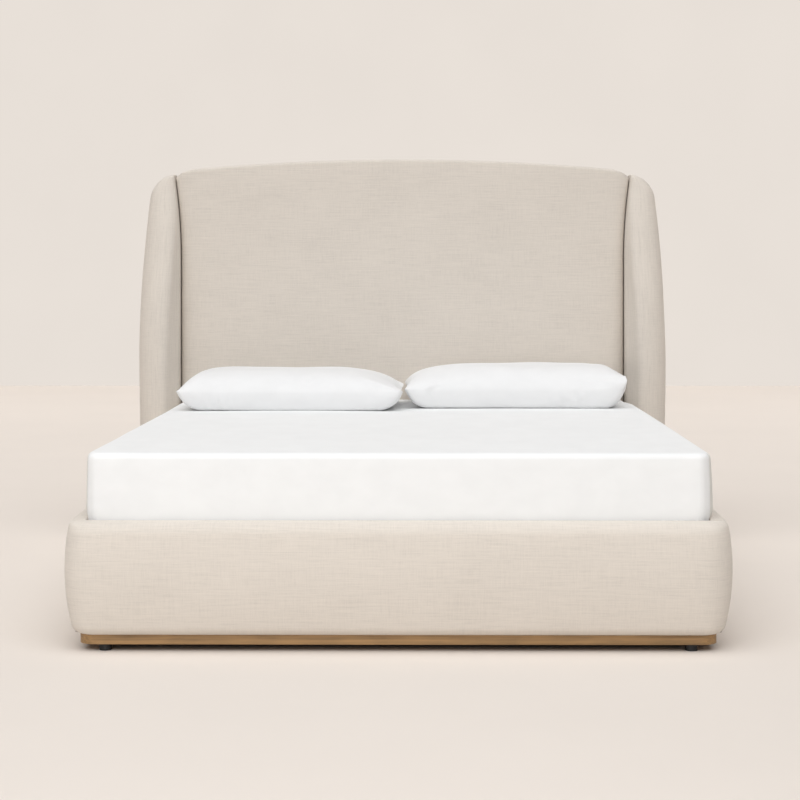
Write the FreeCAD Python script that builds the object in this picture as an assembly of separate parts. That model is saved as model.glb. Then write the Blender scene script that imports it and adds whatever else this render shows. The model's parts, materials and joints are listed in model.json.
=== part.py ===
import FreeCAD, Part
import math
import os

V = FreeCAD.Vector

# An upholstered bed: millimetres, +Z up, +Y towards the headboard, origin on the floor under the middle.

# Bedding
mattress_width = 1520.0
mattress_length = 2028.0
mattress_thickness = 261.0
mattress_corner = 30.0
mattress_edge = 14.0
sheet_ease = 0.5
sheet_thickness = 1.5
sheet_hem_height = 4.0
pillow_length = 740.0
pillow_depth = 490.0
pillow_rise = 82.0
pillow_drop = 58.0
pillow_flat = 4.0
pillow_squareness = 4.5
pillow_side_draw = 14.0
pillow_end_draw = 12.0
left_pillow_x = -367.0
left_pillow_gap = 127.0
right_pillow_x = 384.0
right_pillow_gap = 14.0
pillow_cut_margin = 50.0

# Gaps round the mattress
side_gap = 4.0
foot_gap = 8.0
head_gap = 15.0

# Floor, plinth and upholstery heights
glide_height = 17.0
glide_radius = 15.0
plinth_height = 23.0
plinth_band = 45.0
plinth_inset = 39.0
plinth_corner = 41.0
base_height = 274.0
widest_above_bottom = 157.0

# Rails and footboard
rail_thickness = 50.0
foot_thickness = 80.0
bulge_radius = 575.0
top_round = 35.0
bottom_round = 28.0
inner_round = 6.0
rail_board_thickness = 22.0
foot_board_thickness = 25.0
foot_board_overlap = 24.0
board_cover_bottom = 22.0
board_cover_top = 24.0
pad_seam = 0.5

# Slats, beam and legs
slat_count = 12
slat_thickness = 18.0
slat_width = 90.0
slat_end_gap = 6.0
slat_end_margin = 58.0
slat_top_below_pad = 101.0
webbing_width = 25.0
webbing_thickness = 1.5
webbing_x = 400.0
ledger_width = 35.0
ledger_height = 40.0
beam_width = 70.0
beam_height = 60.0
leg_count = 3
leg_side = 60.0
leg_disc_radius = 20.0
leg_disc_height = 8.0
leg_stem_radius = 5.0
leg_stem_length = 70.0
leg_stem_clearance = 0.3
leg_bore_extra = 5.0

# Steel fittings
bracket_leg = 80.0
bracket_height = 80.0
bracket_thickness = 4.0
bracket_below_ledger = 5.0
bolt_radius = 4.0
bolt_head_radius = 7.0
bolt_head_height = 5.0
bolt_grip = 18.0
bolt_clearance = 0.05
screw_radius = 2.5
screw_head_radius = 4.5
screw_head_height = 2.0
screw_grip = 15.0
ledger_screw_count = 6
hanger_thickness = 3.0
hanger_length = 60.0
hanger_ear = 30.0
hanger_screw_out = 18.0

# Headboard
pad_thickness = 42.0
ply_thickness = 12.0
frame_depth = 40.0
back_cover_thickness = 6.0
pad_wrap = 18.0
pad_bottom = 200.0
pad_front_round = 10.0
panel_gap = 2.0
flare_height = 304.0
flare_width = 22.0
shoulder_height = 1262.0
crown_height = 52.5
crown_rise = 40.0
crown_corner = 40.0
post_width = 70.0
top_rail_below_shoulder = 74.0
mid_rail_bottom = 700.0
mid_rail_height = 70.0
bottom_rail_bottom = 110.0
bottom_rail_height = 90.0
back_cover_inset = 2.0

# Wings
wing_thickness = 137.0
wing_rail_gap = 11.0
wing_widest_height = 620.0
wing_bottom_taper = 9.0
wing_bottom_round = 35.0
wing_side_radius = 5400.0
wing_shoulder_radius = 75.0
wing_shoulder_lead = 8.5
wing_reach = 120.0
wing_sweep_start = 450.0
wing_sweep_below_shoulder = 4.0
wing_nose_inner = 48.0
wing_nose_outer = 78.0
wing_rear_outer = 20.0
wing_rear_inner = 3.0
wing_notch_clearance = 1.0
wing_ply_thickness = 18.0
wing_ply_cover = 46.0
wing_ply_front_inset = 45.0
wing_ply_rear_inset = 12.0
wing_ply_below_shoulder = 134.0
wing_ply_above_base = 26.0
wing_stile_above_rail = 16.0
wing_stile_below_shoulder = 214.0
wing_rib_height = 40.0
wing_rib_cover = 20.0
wing_upper_rib = 900.0
wing_bolt_from_bottom = 150.0
wing_bolt_spacing = 160.0
wing_bolt_from_top = 100.0
wing_bolt_into_stile = 60.0
head_plinth_side_inset = 48.0
head_plinth_rear_inset = 15.0

# Places that follow from the sizes above
sheet_grow = sheet_ease + sheet_thickness
bed_x = mattress_width / 2 + sheet_grow
rail_in = bed_x + side_gap
rail_out = rail_in + rail_thickness
head_thickness = pad_thickness + ply_thickness + frame_depth + back_cover_thickness
made_length = mattress_length + 2 * sheet_grow
total_length = foot_thickness + foot_gap + made_length + head_gap + head_thickness
y_front = -total_length / 2
y_rear = y_front + foot_thickness
y_made = y_rear + foot_gap
y_mattress = y_made + sheet_grow
y_panel = y_made + made_length + head_gap
y_ply = y_panel + pad_thickness
y_frame = y_ply + ply_thickness
y_cover = y_frame + frame_depth
y_back = y_cover + back_cover_thickness
z_base = glide_height + plinth_height
z_top = z_base + base_height
z_wide = z_base + widest_above_bottom
z_slat_top = z_top - slat_top_below_pad
z_slat = z_slat_top - slat_thickness
z_board = z_base + board_cover_bottom
z_board_top = z_top - board_cover_top
z_beam = z_slat - beam_height
z_sheet_top = z_slat_top + mattress_thickness + sheet_grow
z_crown = shoulder_height + crown_height
flare_start = shoulder_height - flare_height
top_rail_bottom = shoulder_height - top_rail_below_shoulder
wing_sweep_end = shoulder_height - wing_sweep_below_shoulder
wing_ply_top = shoulder_height - wing_ply_below_shoulder
wing_ply_bottom = z_base + wing_ply_above_base
wing_stile_bottom = z_top + wing_stile_above_rail
wing_stile_top = shoulder_height - wing_stile_below_shoulder
lowest_wing_bolt = wing_stile_bottom + wing_bolt_from_bottom
wing_bolt_heights = (
    lowest_wing_bolt,
    lowest_wing_bolt + wing_bolt_spacing,
    wing_stile_top - wing_bolt_from_top,
)
wing_in = rail_in + wing_rail_gap
post_out = wing_in
panel_x = wing_in - panel_gap
wing_out = wing_in + wing_thickness
wing_ply_in = wing_out - wing_ply_cover - wing_ply_thickness
flare_radius = (flare_height ** 2 + flare_width ** 2) / (2 * flare_width)
bolt_bore = bolt_radius + bolt_clearance
screw_bore = screw_radius + bolt_clearance


def box(x0, x1, y0, y1, z0, z1):
    return Part.makeBox(x1 - x0, y1 - y0, z1 - z0, V(x0, y0, z0))


def rod(radius, start, way, length):
    return Part.makeCylinder(radius, length, start, way)


def line(a, b):
    return Part.makeLine(a, b)


def arc(a, b, c):
    return Part.Arc(a, b, c).toShape()


def other_side(shape):
    return shape.mirror(V(0, 0, 0), V(1, 0, 0))


def together(shapes):
    return shapes[0].fuse(shapes[1:]).removeSplitter()


def group(shapes):
    return Part.makeCompound(shapes)


def save(name, shape):
    shape.exportStep("parts/" + name + ".step")


def save_pair(name, right):
    save(name + "_right", right)
    save(name + "_left", other_side(right))


def rounded_block(half_x, y0, y1, z0, z1, corner, edge):
    block = box(-half_x, half_x, y0, y1, z0, z1)
    upright = [e for e in block.Edges if abs(e.Vertexes[0].Z - e.Vertexes[1].Z) > 1]
    block = block.makeFillet(corner, upright)
    level = [e for e in block.Edges if e.BoundBox.ZLength < 0.01]
    return block.makeFillet(edge, level)


# The rounded, slightly bulging section that the footboard and the rails share.
def barrel_face(thickness, inner, place):
    centre = thickness - bulge_radius
    rise = z_top - top_round - z_wide
    run = math.sqrt((bulge_radius - top_round) ** 2 - rise ** 2)
    up = math.atan2(rise, run)
    fall = z_base + bottom_round - z_wide
    low_run = math.sqrt((bulge_radius - bottom_round) ** 2 - fall ** 2)
    down = math.atan2(fall, low_run)

    def on_bulge(angle):
        return place(centre + bulge_radius * math.cos(angle), z_wide + bulge_radius * math.sin(angle))

    def on_top(angle):
        return place(centre + run + top_round * math.cos(angle),
                     z_top - top_round + top_round * math.sin(angle))

    def on_bottom(angle):
        return place(centre + low_run + bottom_round * math.cos(angle),
                     z_base + bottom_round + bottom_round * math.sin(angle))

    quarter = math.pi / 2
    edges = [line(place(0, z_base), on_bottom(-quarter))]
    edges.append(arc(on_bottom(-quarter), on_bottom((down - quarter) / 2), on_bottom(down)))
    edges.append(arc(on_bulge(down), on_bulge((up + down) / 2), on_bulge(up)))
    edges.append(arc(on_top(up), on_top((up + quarter) / 2), on_top(quarter)))
    edges.append(line(on_top(quarter), place(inner, z_top)))
    if inner > 0:
        lean = inner * (1 - math.sqrt(0.5))
        edges.append(arc(place(inner, z_top), place(lean, z_top - lean), place(0, z_top - inner)))
    edges.append(line(place(0, z_top - inner), place(0, z_base)))
    return Part.Face(Part.Wire(edges))


def rail_shape(y0, y1):
    face = barrel_face(rail_thickness, inner_round, lambda u, z: V(rail_in + u, y0, z))
    return face.extrude(V(0, y1 - y0, 0))


# Bedding
mattress = rounded_block(mattress_width / 2, y_mattress, y_mattress + mattress_length, z_slat_top,
                         z_slat_top + mattress_thickness, mattress_corner, mattress_edge)


def mattress_grown(by):
    return rounded_block(mattress_width / 2 + by, y_mattress - by, y_mattress + mattress_length + by,
                         z_slat_top - by, z_slat_top + mattress_thickness + by,
                         mattress_corner + by, mattress_edge + by)


under_hem = box(-rail_in, rail_in, y_rear, y_panel, z_slat, z_slat_top + sheet_hem_height)
sheet = mattress_grown(sheet_grow).cut(mattress_grown(sheet_ease)).cut(under_hem)


# One half of a pillow's section: a rounded edge, a flatter crest and a rounded edge again.
def pillow_curve(x, middle_y, seam_z, depth, height):
    def at(along, up):
        return V(x, middle_y + along * depth, seam_z + up * height)

    return [
        arc(at(-1, 0), at(-0.9, 0.46), at(-0.68, 0.8)),
        arc(at(-0.68, 0.8), at(0, 1), at(0.68, 0.8)),
        arc(at(0.68, 0.8), at(0.9, 0.46), at(1, 0)),
    ]


def pillow(centre_x, gap):
    back_y = y_panel - gap
    middle_y = back_y - pillow_depth / 2
    seam_z = z_sheet_top + pillow_drop - pillow_flat
    half = pillow_length / 2
    wires = []
    for share in (-1.0, -0.94, -0.83, -0.62, -0.33, 0.0, 0.33, 0.62, 0.83, 0.94, 1.0):
        full = max(0.08, math.sqrt(max(0.0, 1 - abs(share) ** pillow_squareness)))
        depth = pillow_depth / 2 - pillow_side_draw * (1 - share ** 2)
        x = centre_x + share * half
        upper = pillow_curve(x, middle_y, seam_z, depth, pillow_rise * full)
        lower = pillow_curve(x, middle_y, seam_z, depth, -pillow_drop * full)
        wires.append(Part.Wire(upper + lower[::-1]))
    shape = Part.makeLoft(wires, True, False)
    room = pillow_rise + pillow_drop + 2 * pillow_cut_margin
    radius = (pillow_depth ** 2 / 4 + pillow_end_draw ** 2) / (2 * pillow_end_draw)
    for side in (-1, 1):
        x = centre_x + side * (half + radius - pillow_end_draw)
        shape = shape.cut(rod(radius, V(x, middle_y, z_sheet_top - pillow_cut_margin), V(0, 0, 1), room))
    keep = box(centre_x - pillow_length, centre_x + pillow_length, middle_y - pillow_depth,
               middle_y + pillow_depth, z_sheet_top, z_sheet_top + room)
    return shape.common(keep)


# Base
def footboard():
    corner_x = rail_out - foot_thickness
    face = barrel_face(foot_thickness, 0, lambda u, z: V(corner_x, y_rear - u, z))
    middle = face.extrude(V(-2 * corner_x, 0, 0))
    end = face.revolve(V(corner_x, y_rear, 0), V(0, 0, 1), 90)
    return together([middle, end, other_side(end)])


foot_board_x = rail_in + foot_board_overlap
foot_board = box(-foot_board_x, foot_board_x, y_rear - foot_board_thickness, y_rear, z_board, z_board_top)
foot_pad = footboard().cut(foot_board)
rail_board = box(rail_in, rail_in + rail_board_thickness, y_rear, y_ply, z_board, z_board_top)
rail_pad = rail_shape(y_rear + pad_seam, y_ply).cut(rail_board)

ledger = box(rail_in - ledger_width, rail_in, y_rear, y_panel, z_slat - ledger_height, z_slat)
beam = box(-beam_width / 2, beam_width / 2, y_rear + hanger_thickness, y_ply - hanger_thickness,
           z_beam, z_slat)

# Ledger screws
ledger_screws = []
screw_span = (y_panel - y_rear) / ledger_screw_count
for i in range(ledger_screw_count):
    y = y_rear + screw_span * (i + 0.5)
    z = z_slat - ledger_height / 2
    x = rail_in - ledger_width
    head = rod(screw_head_radius, V(x - screw_head_height, y, z), V(1, 0, 0), screw_head_height)
    shank = rod(screw_radius, V(x, y, z), V(1, 0, 0), ledger_width + screw_grip)
    bore = rod(screw_bore, V(x, y, z), V(1, 0, 0), ledger_width + screw_grip)
    ledger_screws.append(together([head, shank]))
    ledger = ledger.cut(bore)
    rail_board = rail_board.cut(bore)

# Corner brackets: one leg on the rail, one on the footboard or the headboard
z_bracket = z_slat - ledger_height - bracket_below_ledger - bracket_height
bolts = []
headboard_bores = []


def corner_bracket(y_wall, way):
    y_leg = y_wall + way * bracket_leg
    y_thick = y_wall + way * bracket_thickness
    on_rail = box(rail_in - bracket_thickness, rail_in, min(y_wall, y_leg), max(y_wall, y_leg),
                  z_bracket, z_bracket + bracket_height)
    on_wall = box(rail_in - bracket_leg, rail_in, min(y_wall, y_thick), max(y_wall, y_thick),
                  z_bracket, z_bracket + bracket_height)
    shape = together([on_rail, on_wall])
    rail_bores = []
    wall_bores = []
    for share in (0.25, 0.75):
        z = z_bracket + share * bracket_height
        along = bracket_leg * (0.2 + share * 0.8) - bolt_head_radius
        reach = bracket_thickness + bolt_grip
        a = V(rail_in - bracket_thickness, y_wall + way * along, z)
        b = V(rail_in - along, y_thick, z)
        for start, going, bores in ((a, V(1, 0, 0), rail_bores), (b, V(0, -way, 0), wall_bores)):
            head = rod(bolt_head_radius, start - going * bolt_head_height, going, bolt_head_height)
            bolts.append(together([head, rod(bolt_radius, start, going, reach)]))
            bores.append(rod(bolt_bore, start, going, reach))
    return shape.cut(rail_bores + wall_bores), rail_bores, wall_bores


foot_bracket, foot_rail_bores, foot_wall_bores = corner_bracket(y_rear, 1)
head_bracket, head_rail_bores, head_wall_bores = corner_bracket(y_ply, -1)
rail_board = rail_board.cut(foot_rail_bores + head_rail_bores)
foot_board = foot_board.cut(foot_wall_bores + [other_side(b) for b in foot_wall_bores])
headboard_bores += head_wall_bores + [other_side(b) for b in head_wall_bores]

# Beam hangers: a shoe under each end of the beam
hangers = []
hanger_screws = []
half_beam = beam_width / 2
for y_wall, way in ((y_rear, 1), (y_ply, -1)):
    ys = sorted((y_wall, y_wall + way * hanger_thickness))
    reach = sorted((y_wall, y_wall + way * hanger_length))
    ear = half_beam + hanger_ear
    plate = box(-ear, ear, ys[0], ys[1], z_beam - hanger_thickness, z_slat)
    shelf = box(-half_beam - hanger_thickness, half_beam + hanger_thickness, reach[0], reach[1],
                z_beam - hanger_thickness, z_beam)
    cheek = box(half_beam, half_beam + hanger_thickness, reach[0], reach[1],
                z_beam - hanger_thickness, z_slat)
    shoe = together([plate, shelf, cheek, other_side(cheek)])
    for side in (-1, 1):
        x = side * (half_beam + hanger_screw_out)
        start = V(x, y_wall + way * hanger_thickness, z_beam + beam_height / 2)
        going = V(0, -way, 0)
        depth = hanger_thickness + screw_grip
        head = rod(screw_head_radius, start - going * screw_head_height, going, screw_head_height)
        hanger_screws.append(together([head, rod(screw_radius, start, going, depth)]))
        bore = rod(screw_bore, start, going, depth)
        shoe = shoe.cut(bore)
        if way > 0:
            foot_board = foot_board.cut(bore)
        else:
            headboard_bores.append(bore)
    hangers.append(shoe)

# Headboard
crown_ends = z_crown - crown_rise


def flare_at(z):
    rise = max(0.0, z - flare_start)
    return flare_radius - math.sqrt(flare_radius ** 2 - rise ** 2)


# The top corner is an arc that touches the flare on its side and the crown above it.
crown_half = panel_x + flare_at(crown_ends)
crown_radius = (crown_half ** 2 + crown_rise ** 2) / (2 * crown_rise)
flare_middle = V(panel_x + flare_radius, 0, flare_start)
crown_middle = V(0, 0, z_crown - crown_radius)


def corner_middle():
    near = flare_radius + crown_corner
    far = crown_radius - crown_corner
    between = crown_middle - flare_middle
    span = between.Length
    along = (near ** 2 - far ** 2 + span ** 2) / (2 * span)
    aside = math.sqrt(near ** 2 - along ** 2)
    way = between / span
    return flare_middle + way * along + V(way.z, 0, -way.x) * aside


# The headboard's outline, drawn in by an inset. Below the flare it is as wide as asked.
def panel_block(half, inset, y, depth, bottom):
    centre = corner_middle()
    radius = crown_corner - inset
    to_flare = (flare_middle - centre).normalize()
    to_crown = (centre - crown_middle).normalize()
    low = centre + to_flare * radius
    high = centre + to_crown * radius
    middle = centre + (to_flare + to_crown).normalize() * radius
    if half > panel_x - inset:
        side = line(V(half, 0, flare_start), low)
    else:
        reach = flare_radius + inset
        lift = (low.z - flare_start) / 2
        bend = V(flare_middle.x - math.sqrt(reach ** 2 - lift ** 2), 0, flare_start + lift)
        side = arc(V(half, 0, flare_start), bend, low)
    edges = [line(V(half, 0, bottom), V(half, 0, flare_start)), side, arc(low, middle, high)]
    crown = arc(high, V(0, 0, z_crown - inset), V(-high.x, 0, high.z))
    floor = line(V(-half, 0, bottom), V(half, 0, bottom))
    outline = Part.Wire(Part.__sortEdges__(edges + [crown, floor] + [other_side(e) for e in edges]))
    return Part.Face(outline).translated(V(0, y, 0)).extrude(V(0, depth, 0))


inside = panel_block(panel_x, pad_wrap, y_ply, head_thickness, z_base)
hull = panel_block(panel_x, 0, y_panel, y_cover - y_panel, pad_bottom)
front_edges = [e for e in hull.Edges if e.BoundBox.YMax < y_panel + 0.01 and e.BoundBox.ZMax > pad_bottom + 1]
rail_room = box(rail_in - pad_seam, wing_in, y_panel - 1, y_ply, pad_bottom - 1, z_top + pad_seam)
head_pad = hull.makeFillet(pad_front_round, front_edges).cut([inside, rail_room, other_side(rail_room)])

ply = panel_block(panel_x, pad_wrap, y_ply, ply_thickness, z_base).cut(headboard_bores)
post = box(post_out - post_width, post_out, y_frame, y_cover, z_base, top_rail_bottom)
frame_zone = panel_block(panel_x, pad_wrap, y_frame, frame_depth, z_base)
top_rail = frame_zone.common(box(-wing_out, wing_out, y_frame, y_cover, top_rail_bottom, z_crown))
# The post stands proud of the board's edge only below the flare.
post = post.common(together([frame_zone, box(0, post_out, y_frame, y_cover, z_base, flare_start)]))
post_in = post_out - post_width
mid_rail = box(-post_in, post_in, y_frame, y_cover, mid_rail_bottom, mid_rail_bottom + mid_rail_height)
bottom_rail = box(-post_in, post_in, y_frame, y_cover, bottom_rail_bottom,
                  bottom_rail_bottom + bottom_rail_height)
bottom_rail = bottom_rail.cut(headboard_bores)
post = post.cut(headboard_bores)
back_cover = panel_block(panel_x - back_cover_inset, back_cover_inset, y_cover, back_cover_thickness, z_base)


# Wings
def wing_side_x(z):
    if z < wing_widest_height:
        x = wing_out - wing_bottom_taper * (wing_widest_height - z) / (wing_widest_height - z_base)
        low = z_base + wing_bottom_round - z
        if low > 0:
            x -= wing_bottom_round - math.sqrt(wing_bottom_round ** 2 - low ** 2)
        return x
    return wing_out - wing_side_radius + math.sqrt(wing_side_radius ** 2 - (z - wing_widest_height) ** 2)


def wing_inner_x(z):
    return wing_in + flare_at(z)


sweep_height = wing_sweep_end - wing_sweep_start
sweep_radius = (sweep_height ** 2 + wing_reach ** 2) / (2 * wing_reach)


def wing_front_y(z):
    rise = min(max(0.0, z - wing_sweep_start), sweep_height)
    return y_panel - wing_reach + sweep_radius - math.sqrt(sweep_radius ** 2 - rise ** 2)


def corner_arc(x, y, radius, start):
    points = []
    for share in (0, 0.5, 1):
        angle = math.radians(start + 90 * share)
        points.append((x + radius * math.cos(angle), y + radius * math.sin(angle)))
    return points


def wing_section(z, outer):
    inner = wing_inner_x(z)
    front = wing_front_y(z)
    width = outer - inner
    a = min(wing_nose_inner, 0.4 * width)
    b = min(wing_nose_outer, 0.57 * width)
    c = min(wing_rear_outer, 0.3 * width)
    d = min(wing_rear_inner, 0.1 * width)
    corners = [
        corner_arc(inner + a, front + a, a, 180),
        corner_arc(outer - b, front + b, b, 270),
        corner_arc(outer - c, y_back - c, c, 0),
        corner_arc(inner + d, y_back - d, d, 90),
    ]
    edges = []
    for i, corner in enumerate(corners):
        points = [V(p[0], p[1], z) for p in corner]
        following = corners[(i + 1) % 4][0]
        edges.append(arc(points[0], points[1], points[2]))
        edges.append(line(points[2], V(following[0], following[1], z)))
    return Part.Wire(edges)


shoulder_z = shoulder_height - wing_shoulder_radius
side_end = shoulder_z + wing_shoulder_lead
shoulder_x = wing_side_x(side_end) - math.sqrt(wing_shoulder_radius ** 2 - wing_shoulder_lead ** 2)
wing_wires = []
for angle in (90, 60, 35, 15, 0):
    z = z_base + wing_bottom_round * (1 - math.sin(math.radians(angle)))
    wing_wires.append(wing_section(z, wing_side_x(z)))
stations = 16
first = z_base + wing_bottom_round
for i in range(1, stations + 1):
    z = first + (side_end - first) * i / stations
    wing_wires.append(wing_section(z, wing_side_x(z)))
for angle in (20, 35, 50, 65, 80):
    z = shoulder_z + wing_shoulder_radius * math.sin(math.radians(angle))
    wing_wires.append(wing_section(z, shoulder_x + wing_shoulder_radius * math.cos(math.radians(angle))))
wing_body = Part.makeLoft(wing_wires, True, True)

wing_ply_out = wing_ply_in + wing_ply_thickness
ply_back = y_back - wing_ply_rear_inset


def ply_front(z):
    return V(wing_ply_in, wing_front_y(z) + wing_ply_front_inset, z)


ply_mid = (wing_sweep_start + wing_ply_top) / 2
wing_ply = Part.Face(Part.Wire([
    line(V(wing_ply_in, ply_back, wing_ply_bottom), ply_front(wing_ply_bottom)),
    line(ply_front(wing_ply_bottom), ply_front(wing_sweep_start)),
    arc(ply_front(wing_sweep_start), ply_front(ply_mid), ply_front(wing_ply_top)),
    line(ply_front(wing_ply_top), V(wing_ply_in, ply_back, wing_ply_top)),
    line(V(wing_ply_in, ply_back, wing_ply_top), V(wing_ply_in, ply_back, wing_ply_bottom)),
])).extrude(V(wing_ply_thickness, 0, 0))

stile = box(wing_in, wing_ply_in, y_frame, ply_back, wing_stile_bottom, wing_stile_top)
ribs = []
for z in (wing_stile_bottom, wing_upper_rib):
    near = wing_front_y(z + wing_rib_height) + wing_ply_front_inset
    ribs.append(box(wing_in + wing_rib_cover, wing_ply_in, near, y_frame, z, z + wing_rib_height))
wing_frame = together([stile] + ribs)

wing_bolts = []
y_bolt = (y_frame + ply_back) / 2
for z in wing_bolt_heights:
    start = V(post_in, y_bolt, z)
    reach = post_width + wing_bolt_into_stile
    head = rod(bolt_head_radius, start - V(bolt_head_height, 0, 0), V(1, 0, 0), bolt_head_height)
    wing_bolts.append(together([head, rod(bolt_radius, start, V(1, 0, 0), reach)]))
    bore = rod(bolt_bore, start, V(1, 0, 0), reach)
    post = post.cut(bore)
    wing_frame = wing_frame.cut(bore)

notch = box(wing_in - 5, rail_out + wing_notch_clearance, y_panel - wing_reach - 5,
            y_ply + wing_notch_clearance, z_base - 5, z_top + wing_notch_clearance)
stile_room = box(wing_in, wing_ply_in, y_frame, ply_back, wing_stile_bottom, wing_stile_top)
wing_cover = wing_body.cut(notch).cut([wing_ply, stile_room] + ribs)

# Plinths and glides
plinth_x = rail_out - plinth_inset
y_plinth = y_front + plinth_inset
y_head_plinth = y_panel - wing_reach + plinth_inset
y_split = y_plinth + plinth_corner + 20
outer = box(-plinth_x, plinth_x, y_plinth, y_split, glide_height, z_base)
turns = [e for e in outer.Edges if e.BoundBox.ZLength > 1 and e.BoundBox.YMax < y_plinth + 1]
hole = box(-plinth_x + plinth_band, plinth_x - plinth_band, y_plinth + plinth_band, y_split + 1,
           glide_height - 1, z_base + 1)
plinth_front = outer.makeFillet(plinth_corner, turns).cut(hole)
plinth_side = box(plinth_x - plinth_band, plinth_x, y_split, y_head_plinth, glide_height, z_base)
head_plinth_x = wing_out - head_plinth_side_inset
head_outer = box(-head_plinth_x, head_plinth_x, y_head_plinth, y_back - head_plinth_rear_inset,
                 glide_height, z_base)
head_hole = box(-head_plinth_x + plinth_band, head_plinth_x - plinth_band, y_head_plinth + plinth_band,
                y_back - head_plinth_rear_inset - plinth_band, glide_height - 1, z_base + 1)
head_plinth = head_outer.cut(head_hole)

glides = []
half_band = plinth_band / 2
for side in (-1, 1):
    for x, y in (
        (plinth_x - plinth_corner - half_band, y_plinth + half_band),
        (plinth_x - half_band, 0),
        (head_plinth_x - half_band, y_head_plinth + half_band),
        (head_plinth_x - half_band, y_back - head_plinth_rear_inset - half_band),
    ):
        glides.append(rod(glide_radius, V(side * x, y, 0), V(0, 0, 1), glide_height))

# Write the pieces
os.makedirs("parts", exist_ok=True)
save("mattress", mattress)
save("fitted_sheet", sheet)
save("pillow_left", pillow(left_pillow_x, left_pillow_gap))
save("pillow_right", pillow(right_pillow_x, right_pillow_gap))
save("footboard_board", foot_board)
save("footboard_pad", foot_pad)
save_pair("rail_board", rail_board)
save_pair("rail_pad", rail_pad)
save_pair("ledger", ledger)
save("screws", group(ledger_screws + [other_side(s) for s in ledger_screws] + hanger_screws))
save_pair("foot_bracket", foot_bracket)
save_pair("head_bracket", head_bracket)
save("bracket_bolts", group(bolts + [other_side(b) for b in bolts]))
save("centre_beam", beam)
save("beam_hangers", group(hangers))
save("headboard_pad", head_pad)
save("headboard_plywood", ply)
save_pair("headboard_post", post)
save("headboard_top_rail", top_rail)
save("headboard_mid_rail", mid_rail)
save("headboard_bottom_rail", bottom_rail)
save("headboard_back_cover", back_cover)
save_pair("wing_cover", wing_cover)
save_pair("wing_panel", wing_ply)
save_pair("wing_frame", wing_frame)
save("wing_bolts", group(wing_bolts + [other_side(b) for b in wing_bolts]))
save("plinth_front", plinth_front)
save_pair("plinth_side", plinth_side)
save("headboard_plinth", head_plinth)
save("glides", group(glides))

slat_pitch = (y_panel - y_rear - 2 * slat_end_margin - slat_width) / (slat_count - 1)
slat_x = rail_in - slat_end_gap
for i in range(slat_count):
    y = y_rear + slat_end_margin + i * slat_pitch
    save("slat_%02d" % (i + 1), box(-slat_x, slat_x, y, y + slat_width, z_slat, z_slat_top))
tape = box(webbing_x - webbing_width / 2, webbing_x + webbing_width / 2, y_rear + slat_end_margin,
           y_panel - slat_end_margin, z_slat - webbing_thickness, z_slat)
save("slat_webbing", group([tape, other_side(tape)]))

for i in range(leg_count):
    y = y_rear + (y_panel - y_rear) * (i + 1) / (leg_count + 1)
    leg = box(-leg_side / 2, leg_side / 2, y - leg_side / 2, y + leg_side / 2, leg_disc_height, z_beam)
    bore_depth = leg_stem_length + leg_bore_extra
    bore = rod(leg_stem_radius + leg_stem_clearance, V(0, y, leg_disc_height), V(0, 0, 1), bore_depth)
    disc = rod(leg_disc_radius, V(0, y, 0), V(0, 0, 1), leg_disc_height)
    stem = rod(leg_stem_radius, V(0, y, 0), V(0, 0, 1), leg_disc_height + leg_stem_length)
    save("centre_leg_%d" % (i + 1), leg.cut(bore))
    save("centre_glide_%d" % (i + 1), together([disc, stem]))
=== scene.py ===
import json
import math

import bmesh
import bpy
from bpy.props import FloatProperty, FloatVectorProperty, PointerProperty
from mathutils import Matrix, Vector, noise


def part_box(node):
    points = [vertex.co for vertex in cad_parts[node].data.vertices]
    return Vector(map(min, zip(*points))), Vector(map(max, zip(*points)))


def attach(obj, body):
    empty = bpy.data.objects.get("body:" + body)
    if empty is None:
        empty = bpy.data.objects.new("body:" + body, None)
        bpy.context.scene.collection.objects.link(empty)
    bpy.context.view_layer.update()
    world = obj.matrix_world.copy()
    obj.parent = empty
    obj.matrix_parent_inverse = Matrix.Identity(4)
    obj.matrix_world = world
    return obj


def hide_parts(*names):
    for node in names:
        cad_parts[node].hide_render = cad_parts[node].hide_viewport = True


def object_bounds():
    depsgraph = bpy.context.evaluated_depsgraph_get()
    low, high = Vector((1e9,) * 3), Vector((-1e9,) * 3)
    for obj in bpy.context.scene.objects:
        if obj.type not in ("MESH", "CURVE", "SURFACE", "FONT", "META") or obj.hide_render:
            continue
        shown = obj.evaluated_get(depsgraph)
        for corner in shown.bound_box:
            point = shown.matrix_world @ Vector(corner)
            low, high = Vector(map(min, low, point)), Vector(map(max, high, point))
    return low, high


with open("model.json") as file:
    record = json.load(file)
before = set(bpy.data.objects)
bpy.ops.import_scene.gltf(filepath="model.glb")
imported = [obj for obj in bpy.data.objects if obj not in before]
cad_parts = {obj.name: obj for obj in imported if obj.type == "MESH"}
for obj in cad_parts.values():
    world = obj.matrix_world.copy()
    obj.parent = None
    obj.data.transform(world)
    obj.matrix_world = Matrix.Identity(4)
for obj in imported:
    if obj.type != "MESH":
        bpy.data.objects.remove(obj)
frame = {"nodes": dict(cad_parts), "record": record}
CAD_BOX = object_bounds()

bl_info = {
    "name": "Upholstered Headboard Bed",
    "version": (1, 0, 0),
    "blender": (4, 5, 0),
    "location": "View3D > Sidebar > Bed",
    "description": "Dresses the bed's frame in linen, cotton, oak and pine",
    "category": "Object",
}


def linear(hex_colour):
    """An sRGB hex colour as linear red, green and blue."""
    parts = [int(hex_colour[i:i + 2], 16) / 255 for i in (1, 3, 5)]
    return tuple(c / 12.92 if c <= 0.04045 else ((c + 0.055) / 1.055) ** 2.4 for c in parts)


def size(name, description, default):
    return FloatProperty(name=name, description=description, default=default, unit="LENGTH", precision=4)


def share(name, description, default):
    return FloatProperty(name=name, description=description, default=default, min=0, subtype="FACTOR")


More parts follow.
